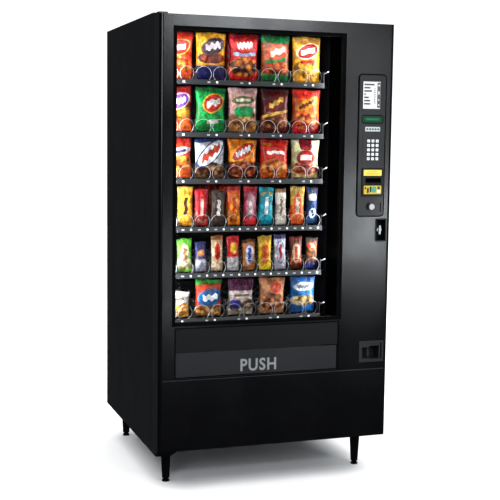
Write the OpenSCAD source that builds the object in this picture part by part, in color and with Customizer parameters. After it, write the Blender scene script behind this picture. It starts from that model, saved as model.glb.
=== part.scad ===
// Glass-front snack vending machine: a steel cabinet on four legs, a full-height door with
// a window, delivery flap and payment column, and six trays of wire spirals that push the
// packs forward. Places are measured from the machine's left edge (x), from the door's
// face towards the back (y) and from the floor (z); machine() moves them to the origin
// under the middle of the whole machine.

/* [Cabinet] */
// Width of the machine
body_w = 960; // [950:1:975]
// Depth from the door's face to the back
body_d = 945; // [940:1:980]
// Height from the floor to the cabinet's top
body_h = 1829; // [1829:1:1850]
// Height of the cabinet's underside
leg_h = 134; // [120:1:136]
// Thickness of the cabinet's sheet steel
sheet = 2; // [1:0.5:2.5]
// Depth of the cabinet's front frame, which the door closes against
collar_d = 93; // [80:1:95]
// Gap between the closed door and the front frame
door_gap = 3; // [3:0.5:5]

/* [Door] */
// Depth of the door
door_d = 97; // [90:1:97]
// Height of the door's bottom edge
door_bottom = 158; // [156:1:160]
// Radius of the door's upright front edges
edge_r = 14; // [6:1:16]
// Width of the stile left of the window
stile_w = 52; // [45:1:56]
// Width of the window
window_w = 700; // [680:1:702]
// Height of the window's lower edge
window_bottom = 645; // [642:1:655]
// Height of the window's upper edge
window_top = 1775; // [1765:1:1785]
// Thickness of the window's glass
glass_t = 4; // [3:0.5:5]

/* [Delivery] */
// Left edge of the delivery opening
delivery_x = 66; // [60:1:72]
// Width of the delivery opening
delivery_w = 676; // [660:1:680]
// Height of the flap's lower edge
flap_bottom = 446; // [445:1:450]
// Height of the flap's upper edge
flap_top = 541; // [535:1:543]
// Depth of the bin that the packs fall into
bin_d = 165; // [150:1:168]
// Height of the bin's rear wall
bin_top = 620; // [600:1:622]

/* [Trays] */
// Width of a tray
tray_w = 670; // [660:1:672]
// Length of a tray from front to back
tray_d = 560; // [560:1:570]
// Selections on a tray of wide bags
bag_selections = 5; // [5]
// Selections on a tray of narrow bars
bar_selections = 10; // [10]
// Height of a tray's price rail
rail_h = 20; // [16:1:22]
// Spiral pitch for bags
bag_pitch = 55; // [55]
// Spiral pitch for bars
bar_pitch = 45; // [45]
// Radius of a bag spiral, to the wire's middle
bag_coil_r = 30; // [28:0.5:30]
// Radius of a bar spiral, to the wire's middle
bar_coil_r = 29; // [27:0.5:29]
// Half the thickness of the spiral's wire
wire_r = 2; // [1.5:0.1:2]

/* [Payment column] */
// Middle of the payment panel, from the left edge
panel_mid = 867.5; // [860:0.5:868]
// Width of the payment panel
panel_w = 113; // [113:1:116]
// Height of the panel's lower edge
panel_bottom = 1061; // [1055:1:1062]
// Height of the panel's upper edge
panel_top = 1617; // [1616:1:1625]
// Key size
key_size = 11.4; // [10:0.1:11.6]
// Distance between keys across
key_pitch_x = 18.7; // [18:0.1:19]
// Distance between keys up the pad
key_pitch_z = 17.6; // [17:0.1:18]
// How far the coin return button stands out of the door's face
knob_proud = 20; // [16:1:24]

/* [Hidden] */
$fn = 48;

// Colours
black_steel = [0.07, 0.07, 0.08];
grey_steel = [0.30, 0.31, 0.33];
zinc_steel = [0.62, 0.63, 0.65];
black_plastic = [0.10, 0.10, 0.11];
light_plastic = [0.86, 0.87, 0.88];

face_y = (knob_proud - body_d) / 2;
through = 1;

// Cabinet
collar_front = door_d + door_gap;
collar_back = collar_front + collar_d;
back_face = body_d - sheet;
flange_w = 20;
jamb_w = 35;
wall_x = 765;
leg_inset = 69;
leg_front_y = 144;
leg_rear_y = body_d - 95;
foot_h = 14;
inlet_x = [836, 884];
inlet_z = [190, 222];

// Door
door_top = body_h - 11;
kick_seam_z = [434, 437];
pivot = [12, 27];
pin_r = 6;
running_gap = 0.05;
glass_y = 8;
gasket_w = 14;
gasket_lap = 6;
delivery_right = delivery_x + delivery_w;
bin_wall = 3;
bin_back = 20 + bin_d;
bin_floor = 440;
rod_r = 3;
flap_axis = [13, flap_top - 4];
baffle_axis = [bin_back - 9, bin_top - 10];
baffle_len = 138;

// Trays: the heights of the tops of their price rails, from the top tray down
rail_tops = [1587, 1384, 1203, 1014, 832, 653];
bag_rows = [0, 1, 2, 5];
bar_rows = [3, 4];
tray_x = 44;
tray_y = 130;
tray_right = tray_x + tray_w;
tray_sheet = 1.5;
floor_drop = 12;
side_rise = 45;
rear_rise = 70;
divider_rise = 25;
runner_lap = 8;
coil_front = tray_y + 4;
coil_segments = 12;
coil_lift = 0.7;
bag_turns = 10;
bar_turns = 12;
bag_coil_gap = tray_w / bag_selections / 4;
tail_len = 7;
pack_lift = 12;

// Packs: half thickness at each part of the height, from the bottom seal to the top seal
bag_outline = [[5, 0], [10, 0.11], [22, 0.29], [22, 0.6], [12, 0.83], [2, 1]];
bar_outline = [[3.5, 0], [7, 0.14], [12, 0.34], [12, 0.7], [7, 0.9], [1.5, 1]];
bag_w = 128;
bar_w = 62;
pack_heights = [182, 174, 156, 158, 144, 148];
pack_film = 0.8;
working_bag = 2;
working_bar = 4;

// Payment column
panel_x = [panel_mid - panel_w / 2, panel_mid + panel_w / 2];
panel_z = [panel_bottom, panel_top];
panel_lap = 6;
card_x = [826, 901];
card_z = [1485, 1592];
display_x = [824, 914];
display_z = [1430, 1458];
pad_x = [829, 911];
pad_z = [1265, 1380];
key_mid = [872, 1323];
key_cols = 3;
key_rows = 5;
key_gap = 0.4;
bill_x = [828, 920];
bill_z = [1137, 1251];
bill_slot_z = [1196, 1204];
button_at = [868, 1097];
button_r = 11.5;
coin_slot_x = [911, 915];
coin_slot_z = [1077, 1112];
pocket_x = [896, 940];
pocket_z = [959, 1046];
pocket_d = 45;
handle_at = [918, 1002];
handle_r = 5;
cup_x = [838, 939];
cup_z = [469, 547];
cup_lap = 4;

// ---- Shapes ----

// Moves a shape measured from the machine's corner to the origin under its middle
module machine() translate([-body_w / 2, face_y, 0]) children();

// A range, drawn in at both ends
function inside(range, by) = [range[0] + by, range[1] - by];

// A box given by its range on each axis
module block(x, y, z) translate([x[0], y[0], z[0]]) cube([x[1] - x[0], y[1] - y[0], z[1] - z[0]]);

// A round bar along y, x or z
module rod_y(at, y, r) translate([at[0], y[0], at[1]]) rotate([-90, 0, 0]) cylinder(h = y[1] - y[0], r = r);
module rod_x(at, x, r) translate([x[0], at[0], at[1]]) rotate([0, 90, 0]) cylinder(h = x[1] - x[0], r = r);
module rod_z(at, z, r) translate([at[0], at[1], z[0]]) cylinder(h = z[1] - z[0], r = r);

// A flat plate facing the front, with round corners
module plate(x, y, z, r) {
    translate([0, y[1], 0]) rotate([90, 0, 0]) linear_extrude(y[1] - y[0]) {
        translate([x[0] + r, z[0]]) square([x[1] - x[0] - 2 * r, z[1] - z[0]]);
        translate([x[0], z[0] + r]) square([x[1] - x[0], z[1] - z[0] - 2 * r]);
        for (cx = [x[0] + r, x[1] - r], cz = [z[0] + r, z[1] - r]) translate([cx, cz]) circle(r);
    }
}

// A side view, drawn as points (y, z), made as wide as x
module profile(x, points) {
    translate([x[0], 0, 0]) rotate([90, 0, 90]) linear_extrude(x[1] - x[0]) polygon(points);
}

// An upright rectangular ring
module ring(x, y, z, w) {
    difference() {
        block(x, y, z);
        block([x[0] + w[0], x[1] - w[1]], [y[0] - through, y[1] + through], [z[0] + w[2], z[1] - w[3]]);
    }
}

// ---- Cabinet ----

module side_panel(x, flange) {
    color(black_steel) machine() {
        block(x, [collar_back, body_d], [leg_h, body_h]);
        ring_y = [collar_back, collar_back + sheet];
        block(flange, ring_y, [leg_h, body_h]);
        block(flange, [back_face - sheet, back_face], [leg_h + sheet, body_h - sheet]);
    }
}

module left_side_panel() side_panel([0, sheet], [sheet, flange_w]);

module right_side_panel() side_panel([body_w - sheet, body_w], [body_w - flange_w, body_w - sheet]);

module back_panel() {
    slot_w = 120;
    slot_h = 8;
    color(black_steel) machine() difference() {
        block([sheet, body_w - sheet], [back_face, body_d], [leg_h + sheet, body_h - sheet]);
        for (col = [0:3], row = [0:7])
            translate([140 + col * 190, back_face - through, 230 + row * 22])
                cube([slot_w, sheet + 2 * through, slot_h]);
        block(inlet_x, [back_face - through, body_d + through], inlet_z);
    }
}

module top_panel() {
    inner = [flange_w, body_w - flange_w];
    color(black_steel) machine() {
        block([sheet, body_w - sheet], [collar_back + sheet, back_face - sheet], [body_h - sheet, body_h]);
        block(inner, [collar_back + sheet, collar_back + 2 * sheet], [body_h - flange_w, body_h - sheet]);
    }
}

module base_pan() {
    inner = [flange_w, body_w - flange_w];
    color(black_steel) machine() {
        block([sheet, body_w - sheet], [collar_back + sheet, back_face - sheet], [leg_h, leg_h + sheet]);
        block(inner, [collar_back + sheet, collar_back + 2 * sheet], [leg_h + sheet, leg_h + flange_w]);
    }
}

// The frame round the cabinet's mouth: an outer band, a front flange and an inner lip
module front_frame() {
    x = [0, body_w];
    z = [leg_h, body_h];
    skin = [sheet, sheet, sheet, sheet];
    flange = [jamb_w, jamb_w, 50, 34];
    lip_x = [jamb_w - sheet, body_w - jamb_w + sheet];
    lip_z = [z[0] + 50 - sheet, z[1] - 34 + sheet];
    color(black_steel) machine() {
        ring(x, [collar_front, collar_back], z, skin);
        ring(x, [collar_front, collar_front + sheet], z, flange);
        ring(lip_x, [collar_front, collar_front + 22], lip_z, skin);
    }
}

module compartment_wall() {
    y = [collar_back + 3 * sheet, back_face - sheet];
    color(grey_steel) machine() block([wall_x, wall_x + sheet], y, [leg_h + 30, body_h - 30]);
}

module tray_runners() {
    y = [collar_back + 8, tray_y + tray_d];
    color(zinc_steel) machine() for (top = rail_tops) {
        ledge_z = [top - floor_drop - 2 * tray_sheet - sheet, top - floor_drop - tray_sheet];
        web_z = [ledge_z[0], top + 15];
        block([sheet, 2 * sheet], y, web_z);
        block([sheet, tray_x + runner_lap], y, ledge_z);
        block([wall_x - sheet, wall_x], y, web_z);
        block([tray_right - runner_lap, wall_x], y, ledge_z);
    }
}

// ---- Trays ----

function is_bar_row(row) = row == bar_rows[0] || row == bar_rows[1];
function selections(row) = is_bar_row(row) ? bar_selections : bag_selections;
function selection_w(row) = tray_w / selections(row);
function selection_x(row, i) = tray_x + (i + 0.5) * selection_w(row);
function coil_r(row) = is_bar_row(row) ? bar_coil_r : bag_coil_r;
function coil_z(row) = rail_tops[row] - floor_drop + coil_lift + coil_r(row) + wire_r;
function coil_pitch(row) = is_bar_row(row) ? bar_pitch : bag_pitch;
// The spirals of one selection: bags stand in two, bars in one
function coil_xs(row, i) = is_bar_row(row) ? [selection_x(row, i)]
    : [selection_x(row, i) - bag_coil_gap, selection_x(row, i) + bag_coil_gap];
function pack_y(row, i) = coil_front + coil_pitch(row) * (i + 0.5);

module tray(row) {
    top = rail_tops[row];
    floor_z = [top - floor_drop - tray_sheet, top - floor_drop];
    y = [tray_y, tray_y + tray_d];
    rear_y = [y[1] - tray_sheet, y[1]];
    color(zinc_steel) machine() difference() {
        union() {
            block([tray_x, tray_right], y, floor_z);
            block([tray_x, tray_right], [y[0], y[0] + tray_sheet], [top - rail_h, top]);
            block([tray_x, tray_right], rear_y, [floor_z[0], top + rear_rise]);
            for (x = [tray_x, tray_right - tray_sheet])
                block([x, x + tray_sheet], y, [floor_z[0], top + side_rise]);
            for (i = [1:selections(row) - 1])
                translate([tray_x + i * selection_w(row) - tray_sheet / 2, y[0], floor_z[0]])
                    cube([tray_sheet, tray_d, divider_rise + floor_drop]);
        }
        for (i = [0:selections(row) - 1], x = coil_xs(row, i))
            rod_y([x, coil_z(row)], [rear_y[0] - through, rear_y[1] + through], 5);
    }
}

module price_rails() {
    color(black_plastic) machine() for (top = rail_tops)
        profile([tray_x, tray_right], [
            [tray_y, top - rail_h], [tray_y, top], [tray_y - 3, top], [tray_y - 8, top - rail_h]
        ]);
}

// A motor behind each selection, with an output shaft behind each spiral
module spiral_motors() {
    y = [tray_y + tray_d + 5, tray_y + tray_d + 45];
    color(light_plastic) machine()
        for (row = [0:len(rail_tops) - 1], i = [0:selections(row) - 1]) {
            half_w = is_bar_row(row) ? 30 : 60;
            x = selection_x(row, i);
            block([x - half_w, x + half_w], y, [coil_z(row) - 24, coil_z(row) + 24]);
            for (cx = coil_xs(row, i)) rod_y([cx, coil_z(row)], [y[0] - 4, y[0]], 4);
        }
}

// A square wire wound round the y axis. It starts at the top in front, and at the back it comes
// in along a spoke and ends in a tail on the axis, which plugs into the motor.
module spiral(radius, pitch, turns) {
    function spoke(a) = [sin(a), 0, -cos(a)];
    function winding(a) = [cos(a), 0, sin(a)];
    function section(at, u, v) = [at + u, at + v, at - u, at - v];
    back = [0, wire_r, 0];
    last = turns * coil_segments;
    end_a = 360 * turns - 180;
    end_y = pitch * turns;
    out = spoke(end_a) * wire_r;
    side = winding(end_a) * wire_r;
    rings = concat(
        [for (i = [0:last - 1]) let (a = 360 * i / coil_segments - 180)
            section(radius * spoke(a) + [0, pitch * i / coil_segments, 0], wire_r * spoke(a), back)],
        [
            section(radius * spoke(end_a) + [0, end_y, 0], out + side, back),
            section([0, end_y, 0], side, back + out),
            section([0, end_y + tail_len, 0], side, out)
        ]
    );
    count = len(rings);
    points = [for (r = rings, p = r) p];
    walls = [for (i = [0:count - 2], k = [0:3]) let (n = (k + 1) % 4, a = 4 * i, b = 4 * i + 4)
        [a + k, b + k, b + n, a + n]];
    split = [for (w = walls, half = [0, 1]) half == 0 ? [w[0], w[1], w[2]] : [w[0], w[2], w[3]]];
    first_cap = [[0, 1, 2], [0, 2, 3]];
    last_cap = [for (t = first_cap) [for (j = [2, 1, 0]) t[j] + 4 * (count - 1)]];
    polyhedron(points, concat(split, first_cap, last_cap));
}

module bag_spiral(side) {
    color(light_plastic) machine()
        translate([selection_x(0, working_bag) + side * bag_coil_gap, coil_front, coil_z(0)])
            mirror([side > 0 ? 1 : 0, 0, 0]) spiral(bag_coil_r, bag_pitch, bag_turns);
}

module bag_spiral_left() bag_spiral(-1);

module bag_spiral_right() bag_spiral(1);

module bar_spiral() {
    row = bar_rows[0];
    color(light_plastic) machine()
        translate([selection_x(row, working_bar), coil_front, coil_z(row)])
            spiral(bar_coil_r, bar_pitch, bar_turns);
}

// ---- Packs ----

// A pillow shape: narrow at its ends and full in the middle, drawn in by inset all round
module pillow(width, height, outline, inset) {
    function level(p) = min(max(p[1] * height, inset), height - inset);
    front = [for (p = outline) [inset - p[0], level(p)]];
    rear = [for (j = [len(outline) - 1:-1:0]) [outline[j][0] - inset, level(outline[j])]];
    profile([inset - width / 2, width / 2 - inset], concat(rear, front));
}

// One sealed pack: a hollow pillow of film
module pack(row, i, place) {
    outline = is_bar_row(row) ? bar_outline : bag_outline;
    width = is_bar_row(row) ? bar_w : bag_w;
    translate([selection_x(row, i), pack_y(row, place), coil_z(row) - coil_r(row) + pack_lift]) difference() {
        pillow(width, pack_heights[row], outline, 0);
        pillow(width, pack_heights[row], outline, pack_film);
    }
}

function works(row, i) = (row == 0 && i == working_bag) || (row == bar_rows[0] && i == working_bar);

// The front pack of each fixed selection
module snack_packs() {
    color("orange") machine() for (row = [0:len(rail_tops) - 1], i = [0:selections(row) - 1])
        if (!works(row, i)) pack(row, i, 0);
}

module bag_queue() {
    color("gold") machine() for (place = [0:bag_turns - 2]) pack(0, working_bag, place);
}

module bar_queue() {
    color("crimson") machine() for (place = [0:bar_turns - 2]) pack(bar_rows[0], working_bar, place);
}

// ---- Legs, hinges and services ----

module at_legs() {
    for (x = [leg_inset, body_w - leg_inset], y = [leg_front_y, leg_rear_y]) translate([x, y, 0]) children();
}

module legs() {
    flange_h = 5;
    color(black_steel) machine() at_legs() difference() {
        union() {
            translate([0, 0, foot_h]) cylinder(h = leg_h - foot_h - flange_h, r1 = 14.5, r2 = 21);
            translate([0, 0, leg_h - flange_h]) cylinder(h = flange_h, r = 30);
        }
        translate([0, 0, foot_h - through]) cylinder(h = 60, r = 6.5);
    }
}

module leveling_feet() {
    color(black_plastic) machine() at_legs() {
        cylinder(h = 5, r = 15);
        translate([0, 0, 5]) cylinder(h = foot_h - 5, r = 10);
        translate([0, 0, foot_h]) cylinder(h = 40, r = 6);
    }
}

// Two brackets on the front frame, each with the pin that the door turns on
module hinge_brackets() {
    plate_x = [0, 34];
    plate_y = [15, collar_front];
    lower_z = [door_bottom - 7, door_bottom - 1];
    upper_z = [door_top + 1, door_top + 7];
    color(black_steel) machine() {
        block(plate_x, plate_y, lower_z);
        translate([0, 40, 0]) rotate([90, 0, 0]) linear_extrude(6)
            polygon([[0, leg_h], [62, leg_h], [98, lower_z[1]], [0, lower_z[1]]]);
        block([0, 6], [40, collar_front], [leg_h, lower_z[1]]);
        rod_z(pivot, [lower_z[0], door_bottom + 14], pin_r);
        block(plate_x, plate_y, upper_z);
        rod_z(pivot, [door_top - 14, upper_z[1]], pin_r);
    }
}

// The nut that the handle's bolt screws into, on the inner lip of the front frame
module bolt_receiver() {
    y = [collar_front + 4, collar_front + 16];
    color(zinc_steel) machine() difference() {
        block([900, body_w - jamb_w], y, [handle_at[1] - 20, handle_at[1] + 20]);
        rod_y(handle_at, [y[0] - through, y[1] + through], handle_r + running_gap);
    }
}

module power_supply() {
    color(zinc_steel) machine() {
        block([790, 930], [640, 800], [leg_h + sheet, leg_h + 120]);
        block([780, 940], [660, 780], [leg_h + sheet, leg_h + 4]);
    }
}

// The mains inlet, with three blade contacts in its well
module power_inlet() {
    well = [[inlet_x[0] + 8, inlet_x[1] - 8], [inlet_z[0] + 6, inlet_z[1] - 6]];
    color(black_plastic) machine() {
        difference() {
            block(inlet_x, [910, body_d], inlet_z);
            block(well[0], [925, body_d + through], well[1]);
        }
        for (x = [-8, 0, 8]) block([859 + x, 861 + x], [924, 942], [203 + abs(x) / 4, 208 + abs(x) / 4]);
    }
}

// ---- Door ----

// The pressed steel door: a skin with returned edges and the bearings for the hinge pins
module door_frame() {
    rim = 22;
    boss_h = 14;
    boss_r = 9;
    color(black_steel) machine() difference() {
        union() {
            difference() {
                translate([0, 0, door_bottom]) linear_extrude(door_top - door_bottom) {
                    translate([0, edge_r]) square([body_w, door_d - edge_r]);
                    translate([edge_r, 0]) square([body_w - 2 * edge_r, door_d]);
                    for (x = [edge_r, body_w - edge_r]) translate([x, edge_r]) circle(edge_r);
                }
                translate([0, 0, door_bottom + sheet]) linear_extrude(door_top - door_bottom - 2 * sheet) {
                    translate([sheet, edge_r]) square([body_w - 2 * sheet, door_d - sheet - edge_r]);
                    translate([edge_r, sheet]) square([body_w - 2 * edge_r, door_d - 2 * sheet]);
                    for (x = [edge_r, body_w - edge_r]) translate([x, edge_r]) circle(edge_r - sheet);
                }
                block([rim, body_w - rim], [door_d - sheet - through, door_d + through],
                    [door_bottom + rim, door_top - rim]);
            }
            rod_z(pivot, [door_bottom + sheet / 2, door_bottom + boss_h], boss_r);
            rod_z(pivot, [door_top - boss_h, door_top - sheet / 2], boss_r);
        }
        cut_y = [-through, door_d / 2];
        block([stile_w, stile_w + window_w], cut_y, [window_bottom, window_top]);
        block([delivery_x, delivery_right], cut_y, [bin_floor, window_bottom - 9]);
        block(inside(panel_x, panel_lap), cut_y, inside(panel_z, panel_lap));
        block(pocket_x, cut_y, pocket_z);
        block(cup_x, cut_y, cup_z);
        block([edge_r, body_w - edge_r], [-through, 1], kick_seam_z);
        rod_z(pivot, [door_bottom - through, door_bottom + boss_h + through], pin_r + running_gap);
        rod_z(pivot, [door_top - boss_h - through, door_top + through], pin_r + running_gap);
    }
}

module glass_block() {
    block(inside([stile_w, stile_w + window_w], gasket_lap), [glass_y, glass_y + glass_t],
        inside([window_bottom, window_top], gasket_lap));
}

module window_glass() color([0.75, 0.85, 0.88, 0.3]) machine() glass_block();

module window_gasket() {
    color(black_plastic) machine() difference() {
        ring([stile_w, stile_w + window_w], [1, 18], [window_bottom, window_top],
            [gasket_w, gasket_w, gasket_w, gasket_w]);
        glass_block();
    }
}

module fascia_panel() {
    color(black_plastic) machine() {
        plate([delivery_x + 2, delivery_right], [3, 7], [flap_top + 4, window_bottom - 9], 6);
        for (x = [delivery_x + 40, delivery_right - 40]) rod_y([x, 590], [7, 22], 5);
    }
}

// The bin hangs behind the opening; the flap's and the baffle's rods turn in its side walls
module delivery_bin() {
    y = [2, bin_back];
    floor_x = [delivery_x, delivery_right];
    sides = [[delivery_x, delivery_x + bin_wall], [delivery_right - bin_wall, delivery_right]];
    color(black_plastic) machine() difference() {
        union() {
            profile(floor_x, [
                [y[0], bin_floor], [y[1], bin_floor], [y[1], bin_top],
                [y[1] - bin_wall, bin_top], [y[1] - bin_wall, bin_floor + 18],
                [y[1] - 20, bin_floor + bin_wall], [y[0], bin_floor + bin_wall]
            ]);
            for (x = sides) block(x, y, [bin_floor, bin_top]);
        }
        block(inside([delivery_x, delivery_right], -through), [0, 7.5], [flap_top + 3, bin_top + through]);
        for (x = sides) {
            reach = [x[0] - through, x[1] + through];
            rod_x(flap_axis, reach, rod_r + running_gap);
            rod_x(baffle_axis, reach, rod_r + running_gap);
        }
    }
}

module push_flap() {
    inner = [delivery_x + bin_wall + 1, delivery_right - bin_wall - 1];
    color(black_plastic) machine() {
        block(inner, [6, 10], [flap_bottom, flap_top]);
        block(inner, [9, flap_axis[0]], [flap_axis[1] - rod_r, flap_axis[1] + rod_r]);
        block(inner, [6, 22], [flap_bottom, flap_bottom + 4]);
        rod_x(flap_axis, [delivery_x, delivery_right], rod_r);
    }
}

// The plate that swings up over the bin when the flap is pushed
module delivery_baffle() {
    inner = [delivery_x + bin_wall + 2, delivery_right - bin_wall - 2];
    y = [baffle_axis[0] - 1.5, baffle_axis[0] + 1.5];
    color(grey_steel) machine() {
        block(inner, y, [baffle_axis[1] - baffle_len, baffle_axis[1]]);
        rod_x(baffle_axis, [delivery_x, delivery_right], rod_r);
    }
}

// ---- Payment column ----

function key_x(i) = key_mid[0] + (i % key_cols - 1) * key_pitch_x;
function key_z(i) = key_mid[1] + (2 - floor(i / key_cols)) * key_pitch_z;

module selection_bezel() {
    back = 4;
    inner_x = inside(panel_x, panel_lap);
    inner_z = inside(panel_z, panel_lap);
    cut = [-4, back + through];
    color(black_plastic) machine() difference() {
        union() {
            plate(panel_x, [-3, 0], panel_z, 12);
            block(inner_x, [-1, back], inner_z);
            rod_y(button_at, [-7, 0], 17);
        }
        block(card_x, [-4, -1], card_z);
        plate(display_x, cut, display_z, 10);
        block(pad_x, cut, pad_z);
        block([bill_x[0] + 4, bill_x[1] - 6], cut, [bill_z[0] + 4, bill_z[1] - 4]);
        block(coin_slot_x, cut, coin_slot_z);
        rod_y(button_at, [-8, back + through], button_r + 0.3);
    }
}

module instruction_card() color("white") machine() block(card_x, [-2, -1], card_z);

module display_lens() color([0.05, 0.3, 0.18]) machine() plate(display_x, [-3.5, 3], display_z, 10);

module keypad_plate() {
    hole = key_size / 2 + key_gap;
    color(black_plastic) machine() difference() {
        block(pad_x, [-4, 0], pad_z);
        for (i = [0:key_cols * key_rows - 1])
            block([key_x(i) - hole, key_x(i) + hole], [-5, 1], [key_z(i) - hole, key_z(i) + hole]);
    }
}

module key(i) {
    half = key_size / 2;
    color(light_plastic) machine()
        plate([key_x(i) - half, key_x(i) + half], [-6.5, 2], [key_z(i) - half, key_z(i) + half], 2);
}

// The note reader: a bezel with a slot, and the reader's body behind the panel
module bill_validator() {
    slot_x = [842, 910];
    body_z = [bill_z[0] + 4, bill_z[1] - 4];
    color(black_plastic) machine() difference() {
        union() {
            plate(bill_x, [-7, -3], bill_z, 5);
            block([bill_x[0] + 4, bill_x[1] - 6], [-3, 110], body_z);
        }
        block(slot_x, [-8, 70], bill_slot_z);
        profile(slot_x, [
            [-8, bill_slot_z[0] - 8], [2, bill_slot_z[0]], [2, bill_slot_z[1]], [-8, bill_slot_z[1] + 8]
        ]);
    }
}

// The coin mechanism: a chute behind the coin slot leads to the sorter below
module coin_mechanism() {
    color(grey_steel) machine() difference() {
        union() {
            block(inside(coin_slot_x, -5), [4, 64], [coin_slot_z[0] - 9, coin_slot_z[1] + 8]);
            block([830, coin_slot_x[1] + 5], [64, 92], [1016, coin_slot_z[1] + 8]);
            block([800, 888], [64, 150], [860, 1040]);
        }
        block(coin_slot_x, [3, 70], coin_slot_z);
    }
}

module coin_cup() {
    lip_x = inside(cup_x, -cup_lap);
    lip_z = inside(cup_z, -cup_lap);
    well_x = [885, 926];
    well_z = [477, 529];
    color(black_plastic) machine() difference() {
        union() {
            plate(lip_x, [-2, 0], lip_z, 3);
            block(cup_x, [0, 60], cup_z);
        }
        block(well_x, [-3, 54], well_z);
        translate([0, 0, well_z[0] + 3]) linear_extrude(well_z[1] - well_z[0] - 6)
            polygon([[848, -3], [well_x[0] + 1, -3], [well_x[0] + 1, 34], [848, 1]]);
        block([well_x[0] - 8, lip_x[1] - 8], [-3, 6], [well_z[0], lip_z[1] - 8]);
    }
}

module handle_pocket() {
    wall = 2;
    lap = 3;
    color(black_plastic) machine() difference() {
        union() {
            plate(inside(pocket_x, -lap), [-1.5, 0], inside(pocket_z, -lap), 6);
            block(pocket_x, [0, pocket_d], pocket_z);
            rod_y(handle_at, [pocket_d - 1, pocket_d + 12], 9);
        }
        block(inside(pocket_x, wall), [-2, pocket_d - 3], inside(pocket_z, wall));
        rod_y(handle_at, [pocket_d - 4, pocket_d + 13], handle_r + running_gap);
    }
}

module coin_return_button() {
    color("silver") machine() {
        rod_y(button_at, [-knob_proud, 8], button_r);
        rod_y(button_at, [8, 44], 5);
    }
}

// The door's T-handle and the bolt that it turns
module t_handle() {
    bar_x = [handle_at[0] - 4.5, handle_at[0] + 4.5];
    bar_z = [handle_at[1] - 18, handle_at[1] + 18];
    color("silver") machine() {
        rod_y(handle_at, [12, 34], 10);
        block(bar_x, [6, 14], bar_z);
        rod_y(handle_at, [34, door_d + 1], handle_r);
    }
}

left_side_panel();
right_side_panel();
back_panel();
top_panel();
base_pan();
front_frame();
compartment_wall();
tray_runners();
for (row = [0:len(rail_tops) - 1])
    tray(row);
price_rails();
spiral_motors();
snack_packs();
legs();
leveling_feet();
hinge_brackets();
bolt_receiver();
power_supply();
power_inlet();
bag_spiral_left();
bag_spiral_right();
bag_queue();
bar_spiral();
bar_queue();
door_frame();
window_glass();
window_gasket();
fascia_panel();
delivery_bin();
selection_bezel();
instruction_card();
display_lens();
keypad_plate();
bill_validator();
coin_mechanism();
coin_cup();
handle_pocket();
push_flap();
delivery_baffle();
coin_return_button();
t_handle();
for (i = [0:key_cols * key_rows - 1])
    key(i);
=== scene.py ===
"""Looks of the snack vending machine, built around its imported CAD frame.

Places are worked out in millimetres from the machine's left edge (x), from the door's face
towards the back (y) and from the floor (z), as in the CAD source; at() turns them into metres
in the shared frame. Hex codes are sRGB colours.
"""

import math
import random

import bmesh
import bpy
from mathutils import Matrix, Vector, noise


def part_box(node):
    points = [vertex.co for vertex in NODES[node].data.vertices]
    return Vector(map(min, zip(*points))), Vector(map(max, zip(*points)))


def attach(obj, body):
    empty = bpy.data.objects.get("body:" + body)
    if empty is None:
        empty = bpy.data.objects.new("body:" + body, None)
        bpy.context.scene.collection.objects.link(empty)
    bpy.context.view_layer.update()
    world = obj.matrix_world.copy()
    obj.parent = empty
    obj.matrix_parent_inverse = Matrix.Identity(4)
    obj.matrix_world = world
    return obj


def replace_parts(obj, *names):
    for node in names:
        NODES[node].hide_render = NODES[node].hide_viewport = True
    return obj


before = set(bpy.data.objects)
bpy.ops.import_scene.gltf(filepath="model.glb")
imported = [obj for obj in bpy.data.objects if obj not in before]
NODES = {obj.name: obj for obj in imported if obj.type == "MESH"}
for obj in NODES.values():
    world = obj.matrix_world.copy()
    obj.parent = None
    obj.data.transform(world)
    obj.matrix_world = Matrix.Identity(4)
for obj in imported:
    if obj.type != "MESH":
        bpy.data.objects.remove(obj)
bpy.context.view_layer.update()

# ---- Frame ----

MM = 0.001
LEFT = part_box("left_side_panel")[0][0]
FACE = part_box("door_frame")[0][1]
TRAYS = 6
KEYS = 15


def at(x, y, z):
    """A place in the machine's own millimetres, as metres in the shared frame."""
    return Vector((LEFT + x * MM, FACE + y * MM, z * MM))


def extent(node):
    """A CAD node's x range, z range and front face, in the machine's own millimetres."""
    low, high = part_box(node)
    return ((low[0] - LEFT) / MM, (high[0] - LEFT) / MM), (low[2] / MM, high[2] / MM), (low[1] - FACE) / MM


def link(obj):
    bpy.context.scene.collection.objects.link(obj)


def linear(code):
    """An sRGB colour written as six hex digits, as linear red, green, blue, alpha."""
    parts = [int(code[i:i + 2], 16) / 255 for i in (0, 2, 4)]
    return tuple(c / 12.92 if c <= 0.04045 else ((c + 0.055) / 1.055) ** 2.4 for c in parts) + (1,)


def scaled(tone, factor):
    """A linear colour made darker or lighter."""
    return tuple(min(1, c * factor) for c in tone[:3]) + (1,)


def clamp(value, low=0.0, high=1.0):
    return max(low, min(high, value))


# ---- Material graphs ----

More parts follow.
